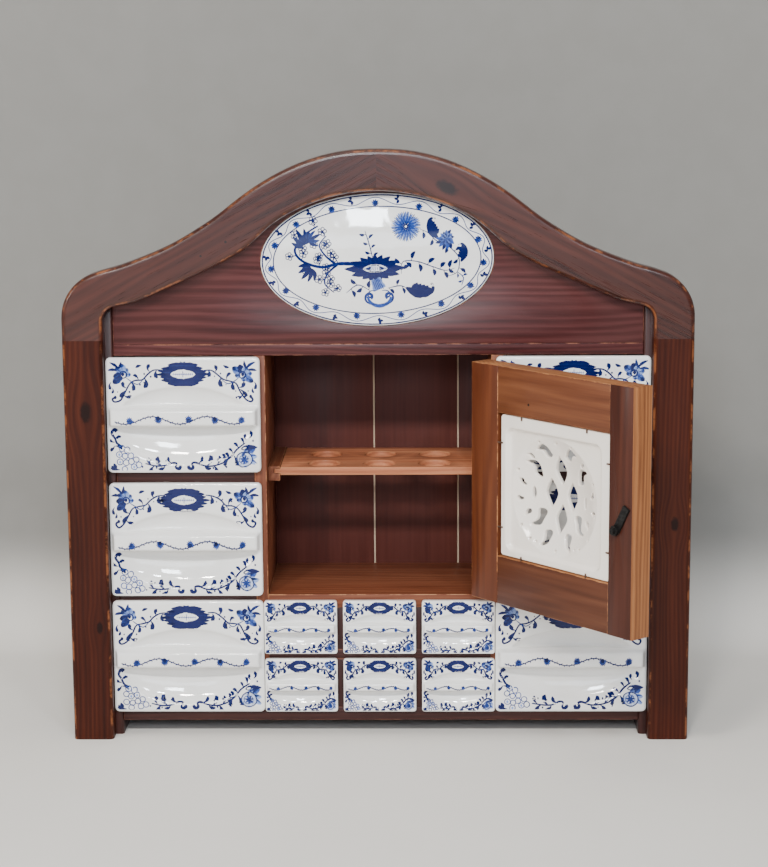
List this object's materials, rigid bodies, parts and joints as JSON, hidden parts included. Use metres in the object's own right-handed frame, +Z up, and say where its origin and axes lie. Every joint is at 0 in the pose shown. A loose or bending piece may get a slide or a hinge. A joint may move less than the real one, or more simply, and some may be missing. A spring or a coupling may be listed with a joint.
{
  "type": "spice drawer cabinet",
  "caption": "Tabletop spice cabinet with an arched front frame, an oval plaque, cast drawers and a hinged door with a pierced tile beside a shelf with round holes.",
  "frame": {"origin": "middle of the bounding box's foot, with the door standing open; the feet stand on z = 0", "axes": "+X to the viewer's right along the front, +Y from the front to the back, +Z up"},
  "size_m": [0.636, 0.3386, 0.608],
  "materials": {
    "dark_wood": "stained and varnished softwood, satin",
    "inside_wood": "thinly stained softwood, matt",
    "porcelain": "opaque white glaze with blue underglaze painting",
    "black_iron": "black, worn",
    "brass": "dull",
    "steel": "dull"
  },
  "bodies": {
    "carcass": {"left_post": "dark_wood", "right_post": "dark_wood", "left_arch_rail": "dark_wood", "right_arch_rail": "dark_wood", "header_board": "dark_wood", "oval_plaque": "porcelain", "left_side_panel": "dark_wood", "right_side_panel": "dark_wood", "left_upright": "dark_wood", "right_upright": "dark_wood", "left_shelf_cleat": "inside_wood", "right_shelf_cleat": "inside_wood", "left_small_divider": "dark_wood", "right_small_divider": "dark_wood", "left_lower_drawer_rail": "dark_wood", "right_lower_drawer_rail": "dark_wood", "left_upper_drawer_rail": "dark_wood", "right_upper_drawer_rail": "dark_wood", "top_board": "dark_wood", "bottom_board": "dark_wood", "compartment_floor": "inside_wood", "small_drawer_rail": "dark_wood", "back_board_1": "dark_wood", "back_board_2": "dark_wood", "back_board_3": "dark_wood", "back_board_4": "dark_wood", "back_board_5": "dark_wood", "back_board_6": "dark_wood", "back_nails": "steel", "lower_hinge_fixed_leaf": "brass", "upper_hinge_fixed_leaf": "brass", "fixed_leaf_screws": "steel"},
    "egg_shelf_body": {"egg_shelf": "inside_wood"},
    "lower_left_drawer_body": {"lower_left_drawer": "porcelain"},
    "lower_right_drawer_body": {"lower_right_drawer": "porcelain"},
    "middle_left_drawer_body": {"middle_left_drawer": "porcelain"},
    "middle_right_drawer_body": {"middle_right_drawer": "porcelain"},
    "upper_left_drawer_body": {"upper_left_drawer": "porcelain"},
    "upper_right_drawer_body": {"upper_right_drawer": "porcelain"},
    "small_lower_left_drawer_body": {"small_lower_left_drawer": "porcelain"},
    "small_lower_middle_drawer_body": {"small_lower_middle_drawer": "porcelain"},
    "small_lower_right_drawer_body": {"small_lower_right_drawer": "porcelain"},
    "small_upper_left_drawer_body": {"small_upper_left_drawer": "porcelain"},
    "small_upper_middle_drawer_body": {"small_upper_middle_drawer": "porcelain"},
    "small_upper_right_drawer_body": {"small_upper_right_drawer": "porcelain"},
    "door": {"door_hinge_stile": "inside_wood", "door_lock_stile": "inside_wood", "door_top_rail": "inside_wood", "door_bottom_rail": "inside_wood", "pierced_tile": "porcelain", "tile_nails": "steel", "lower_hinge_door_leaf": "brass", "upper_hinge_door_leaf": "brass", "door_leaf_screws": "steel"},
    "latch": {"latch_spindle": "black_iron", "latch_bar": "black_iron", "latch_nut": "black_iron"}
  },
  "joints": [
    {"name": "lower_left_drawer_slide", "type": "slide", "parent": "carcass", "child": "lower_left_drawer_body", "axis": [0, -1, 0], "range_m": [0, 0.1]},
    {"name": "lower_right_drawer_slide", "type": "slide", "parent": "carcass", "child": "lower_right_drawer_body", "axis": [0, -1, 0], "range_m": [0, 0.1]},
    {"name": "middle_left_drawer_slide", "type": "slide", "parent": "carcass", "child": "middle_left_drawer_body", "axis": [0, -1, 0], "range_m": [0, 0.1]},
    {"name": "middle_right_drawer_slide", "type": "slide", "parent": "carcass", "child": "middle_right_drawer_body", "axis": [0, -1, 0], "range_m": [0, 0.003]},
    {"name": "upper_left_drawer_slide", "type": "slide", "parent": "carcass", "child": "upper_left_drawer_body", "axis": [0, -1, 0], "range_m": [0, 0.1]},
    {"name": "upper_right_drawer_slide", "type": "slide", "parent": "carcass", "child": "upper_right_drawer_body", "axis": [0, -1, 0], "range_m": [0, 0.003]},
    {"name": "small_lower_left_drawer_slide", "type": "slide", "parent": "carcass", "child": "small_lower_left_drawer_body", "axis": [0, -1, 0], "range_m": [0, 0.1]},
    {"name": "small_lower_middle_drawer_slide", "type": "slide", "parent": "carcass", "child": "small_lower_middle_drawer_body", "axis": [0, -1, 0], "range_m": [0, 0.1]},
    {"name": "small_lower_right_drawer_slide", "type": "slide", "parent": "carcass", "child": "small_lower_right_drawer_body", "axis": [0, -1, 0], "range_m": [0, 0.1]},
    {"name": "small_upper_left_drawer_slide", "type": "slide", "parent": "carcass", "child": "small_upper_left_drawer_body", "axis": [0, -1, 0], "range_m": [0, 0.1]},
    {"name": "small_upper_middle_drawer_slide", "type": "slide", "parent": "carcass", "child": "small_upper_middle_drawer_body", "axis": [0, -1, 0], "range_m": [0, 0.1]},
    {"name": "small_upper_right_drawer_slide", "type": "slide", "parent": "carcass", "child": "small_upper_right_drawer_body", "axis": [0, -1, 0], "range_m": [0, 0.1]},
    {"name": "egg_shelf_slide", "type": "slide", "parent": "carcass", "child": "egg_shelf_body", "axis": [0, 1, 0], "range_m": [-0.028, 0]},
    {"name": "door_hinge", "type": "hinge", "parent": "carcass", "child": "door", "pos_m": [0.11405, 0.01834, 0], "axis": [0, 0, -1], "range_deg": [0, 130.8]},
    {"name": "latch_turn", "type": "hinge", "parent": "door", "child": "latch", "pos_m": [0.24683, -0.13978, 0.25825], "axis": [0.757, 0.6534, 0], "range_deg": [-29, 151]}
  ]
}
